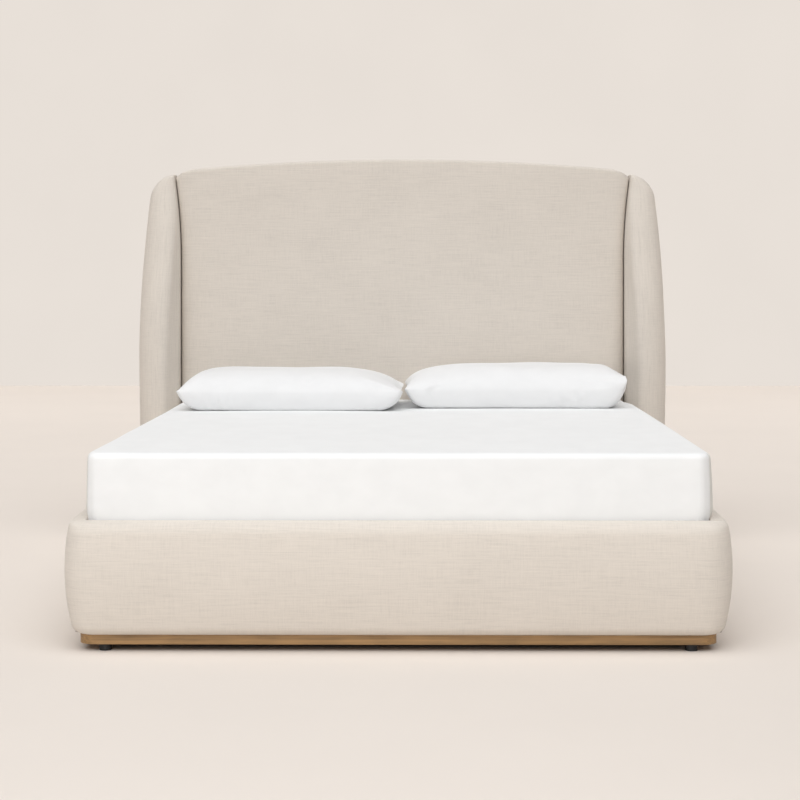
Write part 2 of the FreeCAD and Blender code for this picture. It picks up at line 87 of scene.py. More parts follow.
def colour(name, description, hex_colour):
    return FloatVectorProperty(name=name, description=description, default=linear(hex_colour),
                               subtype="COLOR", size=3, min=0, max=1)


# ---------------------------------------------------------------- settings


class BED_PG_upholstery(bpy.types.PropertyGroup):
    """Sizes of the padded linen covers"""
    bulge_radius: size("Bulge", "Radius of the base's bulging side", 0.575)
    widest: size("Widest", "Height of the widest line above the upholstery's bottom", 0.157)
    top_round: size("Top Rounding", "Radius along the footboard's outer top edge", 0.035)
    side_round: size("Side Rounding", "Radius along the rails' outer top edge", 0.018)
    rail_bow: size("Rail Bow", "How far the padding makes the rails bow outwards", 0.010)
    bottom_round: size("Bottom Rounding", "Radius along the outer bottom edge of the base", 0.028)
    inner_round: size("Inner Rounding", "Radius along the inner top edge of the base", 0.006)
    seam_gap: size("Seam Gap", "Gap between two covers where they meet", 0.0007)
    pad_gap: size("Pad Gap", "Width of the groove between the headboard pad and the wings", 0.0025)
    seam_round: size("Seam Rounding", "Radius where a cover turns into a seam", 0.002)
    flare_height: size("Flare Height", "Height over which the headboard widens", 0.304)
    flare_width: size("Flare Width", "How far the headboard widens on each side", 0.022)
    shoulder_drop: size("Shoulder Drop", "Height of the crown above the wings' shoulders", 0.0525)
    crown_rise: size("Crown Rise", "Rise of the headboard's top above the ends of its arch", 0.040)
    crown_corner: size("Crown Corner", "Radius of the headboard's top corners", 0.016)
    crown_drop: size("Crown Drop", "How far the headboard's top turns down beside the wings", 0.016)
    pad_round: size("Pad Rounding", "Radius of the headboard pad's top and bottom edges", 0.010)
    pad_side_round: size("Pad Side Rounding", "Width of the roll at the headboard pad's sides", 0.050)
    pad_side_depth: size("Pad Side Depth", "Depth of the roll at the headboard pad's sides", 0.026)
    pad_swell: size("Pad Swell", "How far the headboard pad swells at its middle", 0.004)
    wing_nose: size("Wing Nose", "Outer radius of the wing's front", 0.078)
    wing_nose_inner: size("Inner Nose", "Inner radius of the wing's front", 0.032)
    wing_splay: size("Wing Splay", "How far the wing's inner side opens out towards the front", 0.026)
    wing_reach: size("Wing Reach", "How far the wings stand in front of the pad", 0.120)
    wing_sweep_start: size("Sweep Start", "Height where the wing's front starts to sweep back", 0.450)
    wing_side_radius: size("Wing Side", "Radius of the wing's side seen from the front", 5.400)
    wing_widest: size("Wing Widest", "Height where the wings are widest", 0.620)
    wing_shoulder: size("Wing Shoulder", "Radius of the wing's shoulder", 0.095)
    unevenness: size("Unevenness", "How far the stretched cloth wanders from a true surface", 0.0012)


class BED_PG_bedding(bpy.types.PropertyGroup):
    """Sizes of the mattress, sheet and pillows"""
    corner: size("Mattress Corner", "Radius of the mattress's upright corners", 0.030)
    fullness: size("Fullness", "How far the mattress's sides bulge above the rails", 0.0045)
    edge: size("Mattress Edge", "Radius of the mattress's level edges", 0.014)
    sheet_thickness: size("Sheet", "Thickness of the fitted sheet", 0.0010)
    sheet_wave: size("Sheet Waves", "Height of the soft waves in the sheet", 0.0015)
    pillow_draw: size("Pillow Draw", "How far the pillow's long sides draw in", 0.012)
    pillow_ear: size("Pillow Ears", "How far the pillow's corners turn up", 0.008)
    pillow_cap: size("Pillow Swell", "Most that a point may move as the pillow is filled", 0.006)
    pillow_pressure: FloatProperty(name="Pillow Pressure", description="Pressure inside them", default=1.4)
    pillow_fill: share("Pillow Fill", "How tightly the pillows are filled", 0.6)


class BED_PG_finish(bpy.types.PropertyGroup):
    """Colours of the cloth, timber and fittings"""
    linen: colour("Linen", "The headboard and base covers", "#DDD5CB")
    lining: colour("Lining", "The cloth on the headboard's back", "#CDC4B6")
    sheet: colour("Sheet", "The fitted sheet", "#F5F6F6")
    pillow: colour("Pillow", "The pillow cases", "#EEEEEE")
    ticking: colour("Ticking", "The mattress's own cover", "#E9E7E2")
    webbing: colour("Webbing", "The tapes under the slats", "#E2DED4")
    oak: colour("Oak", "The plinth", "#9C7A50")
    pine: colour("Pine", "The frame", "#D3B484")
    beech: colour("Beech", "The slats", "#D6B78C")
    ply: colour("Plywood", "The boards in the headboard", "#CDAF80")
    steel: colour("Zinc Plate", "Brackets, bolts and screws", "#B4B7B9")
    plastic: colour("Plastic", "Glides", "#17181A")
    thread: size("Thread Spacing", "Spacing of the linen's threads", 0.0013)


class BED_PG_stage(bpy.types.PropertyGroup):
    """Floor, lights and camera"""
    paper: colour("Paper", "Floor and wall", "#E8E0D8")
    wall_distance: size("Wall", "Distance from the bed's middle to the wall", 10.0)
    camera_height: size("Camera Height", "Height of the camera above the floor", 0.9205)
    camera_back: size("Camera Distance", "Distance from the mattress's front to the camera", 4.79)
    camera_x: size("Camera Offset", "Distance of the camera to the right of the middle", 0.033)
    lens: FloatProperty(name="Lens", description="Focal length in millimetres", default=88.0)
    shift: FloatProperty(name="Shift", description="Vertical shift of the view", default=-0.16)
    key: FloatProperty(name="Key", description="Strength of the main light", default=2.6)
    fill: FloatProperty(name="Fill", description="Power of the fill light", default=27.0, unit="POWER")
    sky: FloatProperty(name="Sky", description="Strength of the light from all round", default=0.12)


# ---------------------------------------------------------------- shaping


def place_between(a, b, k):
    return a + (b - a) * k


def held(value):
    """A value held between 0 and 1."""
    return min(max(value, 0.0), 1.0)


def ease(value):
    """A value held between 0 and 1, which leaves and arrives gently."""
    value = held(value)
    return value * value * (3 - 2 * value)


def wander(point, wavelength, height):
    """A smooth, repeatable offset for a point on stretched cloth."""
    return height * noise.noise(Vector(point) / wavelength)


def arc_points(cx, cy, radius, start, end, count):
    """Points on an arc, angles in degrees, both ends included."""
    points = []
    for i in range(count + 1):
        angle = math.radians(place_between(start, end, i / count))
        points.append((cx + radius * math.cos(angle), cy + radius * math.sin(angle)))
    return points


def straight(a, b, count):
    """Points from a towards b, without either end."""
    return [tuple(place_between(a[axis], b[axis], i / count) for axis in (0, 1)) for i in range(1, count)]


def wrap_weave(bm, around, along, girth, ends, turned):
    """Lays the weave on a stack: round each ring and from ring to ring, in metres, and flat on its ends."""
    uv = bm.loops.layers.uv.new("weave")
    for face in bm.faces:
        values = [(loop.vert[around], loop.vert[along]) for loop in face.loops]
        flat = max(v[1] for v in values) - min(v[1] for v in values) < 1e-9
        closing = max(v[0] for v in values) - min(v[0] for v in values) > girth / 2
        for loop, (u, v) in zip(face.loops, values):
            if flat:
                u, v = (getattr(loop.vert.co, axis) for axis in ends)
            elif closing and u < girth / 2:
                u += girth
            loop[uv].uv = (v, u) if turned else (u, v)


def lay_weave(bm):
    """Lays the weave flat on each face, from the direction that the face looks in."""
    uv = bm.loops.layers.uv.new("weave")
    for face in bm.faces:
        for loop in face.loops:
            loop[uv].uv = by_normal(loop.vert.co, face.normal)


def extrude_rim(bm, rim):
    """Extrudes a rim of edges. Gives the new points and the new rim."""
    made = bmesh.ops.extrude_edge_only(bm, edges=rim)["geom"]
    fresh = {g for g in made if isinstance(g, bmesh.types.BMVert)}
    return fresh, [g for g in made if isinstance(g, bmesh.types.BMEdge) and fresh.issuperset(g.verts)]


def stack(rings, ends=("x", "y"), turned=False):
    """A closed skin through rings of points, each extruded from the one before, with capped ends."""
    bm = bmesh.new()
    order = bm.verts.layers.int.new("order")
    around = bm.verts.layers.float.new("around")
    along = bm.verts.layers.float.new("along")
    count = len(rings[0])
    middle = rings[len(rings) // 2]
    lengths = [0.0]
    for i in range(count):
        lengths.append(lengths[-1] + (middle[(i + 1) % count] - middle[i]).length)
    bmesh.ops.create_circle(bm, segments=count, radius=1, cap_ends=False)
    bm.verts.ensure_lookup_table()
    for i, vert in enumerate(bm.verts):
        vert[order] = i
        vert[around] = lengths[i]
        vert.co = rings[0][i]
    rim = list(bm.edges)
    bmesh.ops.contextual_create(bm, geom=rim)
    travelled = 0.0
    for before, ring in zip(rings, rings[1:]):
        travelled += max((a - b).length for a, b in zip(before, ring))
        fresh, rim = extrude_rim(bm, rim)
        for vert in fresh:
            vert.co = ring[vert[order]]
            vert[along] = travelled
    bmesh.ops.contextual_create(bm, geom=rim)
    wrap_weave(bm, around, along, lengths[-1], ends, turned)
    bmesh.ops.remove_doubles(bm, verts=bm.verts, dist=1e-6)
    bmesh.ops.recalc_face_normals(bm, faces=bm.faces)
    return bm


def skirt(columns, rows, place, steps):
    """A grid for a face, with its border extruded through the steps of place(s, t, step)."""
    bm = bmesh.new()
    s = bm.verts.layers.float.new("s")
    t = bm.verts.layers.float.new("t")
    bmesh.ops.create_grid(bm, x_segments=columns, y_segments=rows, size=1)
    for vert in bm.verts:
        vert[s] = vert.co.x
        vert[t] = vert.co.y
        vert.co = place(vert[s], vert[t], 0)
    rim = [e for e in bm.edges if e.is_boundary]
    for step in range(1, steps + 1):
        fresh, rim = extrude_rim(bm, rim)
        for vert in fresh:
            vert.co = place(vert[s], vert[t], step)
    bmesh.ops.recalc_face_normals(bm, faces=bm.faces)
    lay_weave(bm)
    return bm


def by_normal(point, normal):
    """The weave's coordinates on a face, from the direction that it looks in."""
    size_of = [abs(c) for c in normal]
    if size_of[1] >= max(size_of[0], size_of[2]):
        return point.x, point.z
    if size_of[0] >= size_of[2]:
        return point.y, point.z
    return point.x, point.y


def make_object(name, bm, material):
    mesh = bpy.data.meshes.new(name)
    bm.to_mesh(mesh)
    bm.free()
    mesh.materials.append(material)
    piece = bpy.data.objects.new(name, mesh)
    bpy.context.scene.collection.objects.link(piece)
    return piece


def finish_piece(name, bm, material, body, node, fill=None, sharp=50):
    """Turns a bmesh into a piece that rides on a body and stands for one of the frame's nodes."""
    piece = make_object(name, bm, material)
    if sharp:
        piece.data.shade_smooth()
        piece.data.set_sharp_from_angle(angle=math.radians(sharp))
    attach(piece, body)
    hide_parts(node)
    return piece


def finish_linen(name, bm, node):
    """Finishes one of the padded covers in the bed's linen."""
    look = bpy.context.scene.bed_finish
    material = once("linen_plain_weave", linen, tuple(look.linen), look.thread)
    return finish_piece(name, bm, material, "frame", node, fill=0.9)


def thicken(piece, thickness):
    """Gives a piece's cloth its thickness, on its inner side."""
    wall = piece.modifiers.new("cloth", "SOLIDIFY")
    wall.thickness = thickness


# ---------------------------------------------------------------- materials


def add_node(tree, kind, inputs=(), to=None, **settings):
    """Adds a node. An input is a value or another node's output, and to is a socket that the node feeds."""
    made = tree.nodes.new(kind)
    for name, value in settings.items():
        setattr(made, name, value)
    for socket, value in dict(inputs).items():
        if isinstance(value, bpy.types.NodeSocket):
            tree.links.new(value, made.inputs[socket])
        else:
            made.inputs[socket].default_value = value
    if to is not None:
        tree.links.new(made.outputs[0], to)
    return made


def start_material(name, values):
    """A material whose shader has the values. Gives it, its nodes and its shader's inputs."""
    material = bpy.data.materials.new(name)
    material.use_nodes = True
    tree = material.node_tree
    shader = tree.nodes["Principled BSDF"].inputs
    for socket, value in values.items():
        shader[socket].default_value = value
    return material, tree, shader


def drawn_out(tree, source, scale, detail=2.0, roughness=0.55):
    """A cloudy pattern drawn out along one way, for threads and grain."""
    placed = add_node(tree, "ShaderNodeMapping", {"Vector": source, "Scale": scale})
    made = add_node(tree, "ShaderNodeTexNoise", {
        "Vector": placed.outputs["Vector"], "Scale": 1.0, "Detail": detail, "Roughness": roughness})
    return made.outputs["Fac"]


def layered(tree, pattern, *layers):
    """A pattern with others laid over it one by one, each with its share."""
    for layer, part in layers:
        mixed = add_node(tree, "ShaderNodeMix", {0: part, 2: pattern, 3: layer}, data_type="FLOAT")
        pattern = mixed.outputs[0]
    return pattern


def surface(tree, shader, rgb, pattern, stops, relief=None):
    """Gives a shader its colour and relief.

    A pattern darkens and lightens the colour, by the factor at each stop of its value. The relief is its own
    pattern, its depth in metres and its strength.
    """
    made = add_node(tree, "ShaderNodeValToRGB", {"Fac": pattern}, shader["Base Color"])
    elements = made.color_ramp.elements
    while len(elements) < len(stops):
        elements.new(0.5)
    for element, (position, factor) in zip(elements, stops):
        element.position = position
        element.color = (*(min(1.0, c * factor) for c in rgb), 1.0)
    if relief:
        values = dict(zip(("Height", "Distance", "Strength"), relief))
        add_node(tree, "ShaderNodeBump", values, shader["Normal"])


# Linen, yarn-dyed and plain woven: slubbed threads of uneven thickness run both ways, so the cloth
# looks finely cross-hatched, matt and slightly warm.
def linen(name, rgb, thread):
    material, tree, shader = start_material(name, {
        "Roughness": 0.92, "Sheen Weight": 0.12, "Sheen Roughness": 0.6, "Specular IOR Level": 0.25})
    uv = add_node(tree, "ShaderNodeUVMap", uv_map="weave").outputs["UV"]
    per = 1.0 / thread
    # The threads themselves are too fine to see from a few metres, so bundles of about three are drawn too.
    weft = drawn_out(tree, uv, (per / 55, per / 2.2, 1.0), 3.0)
    warp = drawn_out(tree, uv, (per / 2.4, per / 60, 1.0), 3.0)
    slubs = drawn_out(tree, uv, (per / 95, per / 4.2, 1.0))
    fine_weft = drawn_out(tree, uv, (per / 18, per, 1.0), 1.0)
    fine_warp = drawn_out(tree, uv, (per, per / 18, 1.0), 1.0)
    threads = layered(tree, fine_weft, (fine_warp, 0.5))
    cloth = layered(tree, weft, (slubs, 0.45), (warp, 0.30), (threads, 0.32))
    # Stretched over foam, the cloth is a little darker and lighter in patches 15 to 20 cm wide.
    mottle = drawn_out(tree, uv, (5.0, 7.0, 1.0))
    tones = [(0.32, 0.84), (0.50, 1.0), (0.68, 1.10)]
    surface(tree, shader, rgb, layered(tree, cloth, (mottle, 0.12)), tones, (cloth, 0.0008, 0.35))
    return material


# Cotton percale, bleached and pressed: a close, fine weave that is nearly flat white with a faint lustre.
def cotton(name, rgb, crease):
    material, tree, shader = start_material(name, {
        "Roughness": 0.85, "Sheen Weight": 0.08, "Specular IOR Level": 0.3})
    place = add_node(tree, "ShaderNodeTexCoord").outputs["Object"]
    crumple = drawn_out(tree, place, (16.0, 11.0, 22.0), 4.0, 0.5)
    # Drawn about 1.1 mm apart, some four times as coarse as the real threads, so that they can show at all.
    weave = drawn_out(tree, place, (900.0, 900.0, 900.0), 1.0)
    height = layered(tree, crumple, (weave, 0.06))
    surface(tree, shader, rgb, crumple, [(0.25, 0.975), (0.75, 1.012)], (height, crease, 0.6))
    return material


# Sawn and planed timber with a clear finish: growth rings cut lengthwise give long streaks, with fine pores.
def timber(name, rgb, axis, roughness, grain, contrast):
    material, tree, shader = start_material(name, {"Roughness": roughness, "IOR": 1.54})
    place = add_node(tree, "ShaderNodeTexCoord").outputs["Object"]
    long_way, across = 1.6, 1.0 / grain
    scale = [across, across, across]
    scale["XYZ".index(axis)] = long_way
    rings = drawn_out(tree, place, scale, 4.0, 0.6)
    pore = drawn_out(tree, place, [s * 6 for s in scale], 2.0, 0.7)
    # The figure: darker and lighter patches a hand long, where the grain leans in and out of the face.
    figure = drawn_out(tree, place, [s * (7 if s == long_way else 0.3) for s in scale], 3.0)
    value = layered(tree, rings, (pore, 0.35), (figure, 0.3))
    tones = [(0.36, 1 - contrast), (0.50, 1.0), (0.64, 1 + contrast * 0.8)]
    surface(tree, shader, rgb, value, tones, (value, 0.0006, 0.35))
    return material


# Zinc-plated mild steel: pressed, then plated, so it is satin with a cloudy, slightly cool surface.
def zinc(name, rgb):
    material, tree, shader = start_material(name, {"Roughness": 0.38, "Metallic": 1.0})
    place = add_node(tree, "ShaderNodeTexCoord").outputs["Object"]
    cloud = drawn_out(tree, place, (55.0, 55.0, 55.0), 3.0)
    surface(tree, shader, rgb, cloud, [(0.3, 0.86), (0.7, 1.08)])
    add_node(tree, "ShaderNodeMapRange", {"Value": cloud, "To Min": 0.3, "To Max": 0.48}, shader["Roughness"])
    return material


# Injection-moulded nylon: a fine spark-eroded texture from the mould makes it an even, soft black.
def nylon(name, rgb):
    material, tree, shader = start_material(name, {"Roughness": 0.55, "IOR": 1.53})
    place = add_node(tree, "ShaderNodeTexCoord").outputs["Object"]
    grain = drawn_out(tree, place, (1400.0, 1400.0, 1400.0))
    surface(tree, shader, rgb, grain, [(0.3, 0.85), (0.7, 1.2)], (grain, 0.0002, 0.4))
    return material


def once(name, maker, *values):
    """The material of that name, made the first time it is asked for."""
    return bpy.data.materials.get(name) or maker(name, *values)


# ---------------------------------------------------------------- shapes of the bed


# How far apart the waves in the base's stretched covers are.
COVER_WAVE = 0.24


def base_out(cover, thickness, z, top_round):
    """How far outwards the base's bulging side reaches at a height, in metres."""
    low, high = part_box("footboard_pad")
    z_wide = low.z + cover.widest
    big = cover.bulge_radius
    foot_round = cover.bottom_round
    for small, centre_z, way in ((top_round, high.z - top_round, 1), (foot_round, low.z + foot_round, -1)):
        rise = centre_z - z_wide
        if (z - z_wide - rise * big / (big - small)) * way > 0:
            run = math.sqrt((big - small) ** 2 - rise ** 2)
            return thickness - big + run + math.sqrt(max(0.0, small ** 2 - (z - centre_z) ** 2))
    return thickness - big + math.sqrt(big ** 2 - (z - z_wide) ** 2)


def base_heights(cover, top_round):
    """Heights for the rings of the base's covers, close together where it turns."""
    low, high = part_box("footboard_pad")
    turn, foot = high.z - top_round, low.z + cover.bottom_round
    heights = [foot - cover.bottom_round * math.cos(math.radians(a)) for a in range(0, 84, 10)]
    heights += [place_between(foot, turn, i / 26) for i in range(27)]
    return heights + [turn + top_round * math.sin(math.radians(a)) for a in range(9, 91, 9)]


class BED_OT_footboard_cover(bpy.types.Operator):
    """Make the footboard's padded linen cover"""
    bl_idname = "bed.footboard_cover"
    bl_label = "Footboard Cover"

    def execute(self, context):
        cover = context.scene.bed_upholstery
        low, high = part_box("footboard_pad")
        board_low, board_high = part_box("footboard_board")
        y_rear, thickness = high.y, high.y - low.y
        corner_x = high.x - thickness
        small = cover.seam_round
        corner_steps, front_steps = 16, 60

        def outline(z, recess):
            near_top = max(0.0, z - (high.z - cover.inner_round))
            rear = y_rear - cover.inner_round + math.sqrt(cover.inner_round ** 2 - near_top ** 2)
            deep = board_low.y if recess else rear
            front = base_out(cover, thickness, z, cover.top_round)
            beside = base_out(cover, thickness, z, cover.side_round)
            side = corner_x + beside
            points = [(0.0, deep)] + straight((0.0, deep), (board_high.x, deep), 6) + [(board_high.x, deep)]
            points += [(board_high.x, rear)]
            points += arc_points(side - small, rear - small, small, 90, 0, 3)
            for i in range(corner_steps + 1):
                angle = math.radians(i * 90 / corner_steps)
                out = place_between(beside, front, math.sin(angle) ** 2)
                y = min(y_rear - out * math.sin(angle), rear - small)
                points.append((corner_x + out * math.cos(angle), y))
            middle = (0.0, y_rear - front)
            points += straight((corner_x, middle[1]), middle, front_steps) + [middle]
            left = [(-x, y) for x, y in points[1:-1]][::-1]
            return [Vector((x, y, z)) for x, y in points + left]

        levels = [(z, board_low.z < z < board_high.z) for z in base_heights(cover, cover.top_round)]
        for step, recesses in ((board_low.z, (False, True)), (board_high.z, (True, False))):
            at = next(i for i, level in enumerate(levels) if level[0] > step)
            levels[at:at] = [(step, recess) for recess in recesses]
        rings = [outline(z, recess) for z, recess in levels]
        for ring in rings:
            for point in ring:
                if point.y < y_rear - 0.03:
                    point.y -= abs(wander(point, COVER_WAVE, cover.unevenness))
        finish_linen("footboard_linen_cover", stack(rings), "footboard_pad")
        return {"FINISHED"}


class BED_OT_rail_covers(bpy.types.Operator):
    """Make the two side rails' padded linen covers"""
    bl_idname = "bed.rail_covers"
    bl_label = "Rail Covers"

    def execute(self, context):
        cover = context.scene.bed_upholstery
        for side, word in ((1, "right"), (-1, "left")):
            low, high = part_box("rail_pad_" + word)
            board_low, board_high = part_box("rail_board_" + word)
            inner = min(abs(low.x), abs(high.x))
            thickness = abs(high.x - low.x)
            board_out = max(abs(board_low.x), abs(board_high.x)) - inner
            heights = base_heights(cover, cover.side_round)
            section = [(base_out(cover, thickness, z, cover.side_round), z) for z in heights]
            z_base, z_top = heights[0], heights[-1]
            r = cover.inner_round
            loop = section + arc_points(r, z_top - r, r, 90, 180, 5)
            loop += [(0.0, board_high.z), (board_out, board_high.z)]
            loop += [(board_out, board_low.z), (0.0, board_low.z), (0.0, z_base + 0.001), (0.001, z_base)]

            def bow_at(y):
                """The padding bows out near the corner, and flattens towards the wing."""
                return cover.rail_bow * (1 - math.exp(-(y - low.y) / 0.13)) * held((0.85 - y) / 0.5)

            def place(out, y, z, first, last):
                edge = cover.seam_round * (0.6 if first and out > board_out else 0.0)
                # In its lowest 90 mm the bow goes back, and the cloth is pulled 4 mm in under the rail.
                low_down = 1 - min((z - z_base) / 0.09, 1.0)
                bow = bow_at(y)
                out += (bow - (bow + 0.004) * low_down ** 2) * min(out / thickness, 1.0)
                point = Vector((side * (inner + out - edge), y, z))
                if z > board_high.z and out > 0.0:
                    point.z += bow * 0.2
                if out > thickness * 0.7 and not first and not last:
                    point.x += side * abs(wander(point, COVER_WAVE, cover.unevenness))
                return point

            steps = 70
            along = [place_between(low.y, high.y, i / steps) for i in range(steps + 1)]
            rings = [[place(out, y, z, i == 0, i == steps) for out, z in loop] for i, y in enumerate(along)]
            near = along[0] + cover.seam_round
            rings.insert(1, [Vector((side * (inner + out), near, z)) for out, z in loop])
            finish_linen("rail_linen_cover_" + word, stack(rings, ("x", "z"), True), "rail_pad_" + word)
        return {"FINISHED"}


class BED_OT_wing_covers(bpy.types.Operator):
    """Make the two wings' padded linen covers"""
    bl_idname = "bed.wing_covers"
    bl_label = "Wing Covers"

    def execute(self, context):
        cover = context.scene.bed_upholstery
        low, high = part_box("wing_cover_right")
        rail_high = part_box("rail_pad_right")[1]
        y_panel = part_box("headboard_pad")[0].y
        z_base, inner, outer, y_back = low.z, low.x, high.x, high.y
        shoulder = CAD_BOX[1].z - cover.shoulder_drop
        sweep = shoulder - 0.004 - cover.wing_sweep_start
        sweep_radius = (sweep ** 2 + cover.wing_reach ** 2) / (2 * cover.wing_reach)
        turn_z = shoulder - cover.wing_shoulder
        # The shoulder starts this far above its centre, where its arc leans in as much as the side does.
        lead = 0.0098
        top_round, bottom_round = 0.016, 0.035
        notch_out, notch_back, notch_top = (c + 0.001 for c in rail_high)

        def side_x(z):
            if z < cover.wing_widest:
                x = outer - 0.009 * (cover.wing_widest - z) / (cover.wing_widest - z_base)
                under = max(0.0, z_base + bottom_round - z)
                return x - (bottom_round - math.sqrt(bottom_round ** 2 - under ** 2))
            if z <= turn_z + lead:
                big = cover.wing_side_radius
                return outer - big + math.sqrt(big ** 2 - (z - cover.wing_widest) ** 2)
            centre = side_x(turn_z + lead) - math.sqrt(cover.wing_shoulder ** 2 - lead ** 2)
            return centre + math.sqrt(max(0.0, cover.wing_shoulder ** 2 - (z - turn_z) ** 2))

        def inner_x(z):
            return inner + flare_at(cover, z)

        def front_y(z):
            rise = min(max(0.0, z - cover.wing_sweep_start), sweep)
            return y_panel - cover.wing_reach + sweep_radius - math.sqrt(sweep_radius ** 2 - rise ** 2)

        def outline(z, notched):
            x_in, x_out, front = inner_x(z), side_x(z), front_y(z)
            top_gap = max(0.0, z - (shoulder - top_round))
            draw = top_round - math.sqrt(max(0.0, top_round ** 2 - top_gap ** 2))
            front += draw
            back = y_back - draw * 0.6
            width = x_out - (notch_out if notched else x_in)
            # The radii of the plan's four corners: the nose on both sides, the back, and the seam at the pad.
            a = min(0.012 if notched else cover.wing_nose_inner, 0.4 * width)
            b = min(cover.wing_nose, 0.55 * width)
            c = min(0.020, 0.3 * (x_out - x_in))
            d = min(0.003, 0.1 * (x_out - x_in))
            if notched:
                nose_in, stop = notch_out, notch_back
                turn, bend, nose_start = (nose_in, stop), (nose_in, front + a + 0.01), 180
            else:
                # The inner side runs straight along the pad's edge, then opens out towards the nose.
                depth = max(0.0, y_panel - front - a)
                nose_in = x_in + min(cover.wing_splay * depth / 0.08, width - a - b)
                stop = front + a + max(depth, 0.01)
                turn, nose_start = (x_in, stop - 0.001), 205
                bend = (x_in, front + a + min(0.8 * max(depth, 0.01), 0.045))
            nose = arc_points(nose_in + a, front + a, a, nose_start, 270, 9)
            points = arc_points(x_out - c, back - c, c, 0, 90, 6)
            points += arc_points(x_in + d, back - d, d, 90, 180, 2)
            points += straight((x_in, back - d), (x_in, stop), 6) + [(x_in, stop), turn]
            points += straight(turn, bend, 3) + [bend] + straight(bend, nose[0], 5) + nose
            points += arc_points(x_out - b, front + b, b, 270, 360, 16)
            points += straight((x_out, front + b), (x_out, back - c), 14)
            return points

        low_turn = z_base + bottom_round
        levels = [(z_base + bottom_round * (1 - math.sin(math.radians(a))), True) for a in range(90, -1, -15)]
        levels += [(place_between(low_turn, notch_top, i / 8), True) for i in range(1, 9)]
        levels += [(place_between(notch_top, turn_z + lead, i / 64), False) for i in range(65)]
        levels += [(turn_z + cover.wing_shoulder * math.sin(math.radians(a)), False)
                   for a in (14, 21, 28, 35, 42, 49, 56, 62, 68, 74, 79, 83)]
        for side, word in ((1, "right"), (-1, "left")):
            rings = []
            for z, notched in levels:
                ring = []
                for x, y in outline(z, notched):
                    point = Vector((side * x, y, z))
                    if x > inner_x(z) + 0.03 and z < turn_z:
                        point.x += side * wander(point, 0.22, cover.unevenness)
                        point.y += wander(point + Vector((3, 0, 0)), 0.22, cover.unevenness)
                    ring.append(point)
                rings.append(ring)
            finish_linen("wing_linen_cover_" + word, stack(rings, turned=True), "wing_cover_" + word)
        return {"FINISHED"}


def flare_at(cover, z):
    """How far the headboard and the wings' inner sides lean out at a height."""
    start = CAD_BOX[1].z - cover.shoulder_drop - cover.flare_height
    radius = (cover.flare_height ** 2 + cover.flare_width ** 2) / (2 * cover.flare_width)
    rise = max(0.0, z - start)
    return radius - math.sqrt(radius ** 2 - rise ** 2)


PANEL_COLUMNS = 84
PANEL_ROWS = 72


def headboard_face(cover, half, bottom, notch, face_y, back_y, edges, swell, way):
    """A function that places a point of a headboard panel: across, up and step by step round its edge.

    notch is the height and half width of its lower part, between the rails. edges are its top's radius, and
    the width and depth of its sides' rolls. way is 1 for a face that looks forwards, and -1 for the back.
    """
    top = CAD_BOX[1].z
    arch_end = half + flare_at(cover, top - cover.crown_rise)
    arch = (arch_end ** 2 + cover.crown_rise ** 2) / (2 * cover.crown_rise)
    turns = 6
    rows_below = 6
    notch_z, notch_half = notch

    def side_at(z, pull):
        return (notch_half if z < notch_z else half + flare_at(cover, z)) - pull

    def top_at(x, pull):
        near_end = held((abs(x) - half + 0.05) / 0.06)
        return top - arch + math.sqrt(arch ** 2 - x ** 2) - cover.crown_drop * near_end ** 2 - pull

    def place(s, t, step):
        turned = min(step, turns) / turns * math.pi / 2
        edge = place_between(edges[0], edges[2], held((abs(s) - 0.93) / 0.07))
        pull, pull_side = (e * (1 - math.sin(turned)) for e in edges[:2])
        row = round((t + 1) / 2 * PANEL_ROWS)
        x = s * side_at(top, pull_side)
        # The sides flare and the top is arched, so each depends on the other: three rounds settle them.
        for _ in range(3):
            if row <= rows_below:
                z = place_between(bottom + pull, notch_z - 0.0005, row / rows_below)
            else:
                k = (row - rows_below - 1) / (PANEL_ROWS - rows_below - 1)
                k = corner_spread(k, 0.04, 6, PANEL_ROWS, False)
                z = place_between(notch_z + 0.0005, top_at(x, pull), k)
            across = corner_spread((s + 1) / 2, 0.025, 6, PANEL_COLUMNS, True) * 2 - 1
            x = across * side_at(z, pull_side)
        corner = max(cover.crown_corner - pull, 0.002)
        x, z = round_corner(x, z, side_at(z, pull_side), top_at(x, pull), corner)
        y = face_y + way * edge * (1 - math.cos(turned))
        if step == 0:
            flatness = (1 - s ** 4) * (1 - t ** 4)
            y -= way * swell * flatness
            y += wander((x, face_y, z), 0.3, cover.unevenness) * flatness
        if step > turns:
            y = back_y
        return Vector((x, y, z))

    return place, turns + 1


def corner_spread(k, part, cells, count, both):
    """Moves grid lines so that some of them fall within a part of the length next to its end or both ends."""
    i = k * count
    if both and i <= cells:
        return part * i / cells
    if i >= count - cells:
        return 1 - part * (count - i) / cells
    first, start = (cells, part) if both else (0, 0.0)
    return place_between(start, 1 - part, (i - first) / (count - cells - first))


def round_corner(x, z, side, top, radius):
    """Draws a point near a square corner in, so that the corner becomes round."""
    a = 1 - (side - abs(x)) / radius
    b = 1 - (top - z) / radius
    if a <= 0 or b <= 0:
        return x, z
    a, b = min(a, 1.0), min(b, 1.0)
    moved = abs(x) + radius * a * (math.sqrt(1 - b * b / 2) - 1)
    return math.copysign(moved, x), z + radius * b * (math.sqrt(1 - a * a / 2) - 1)


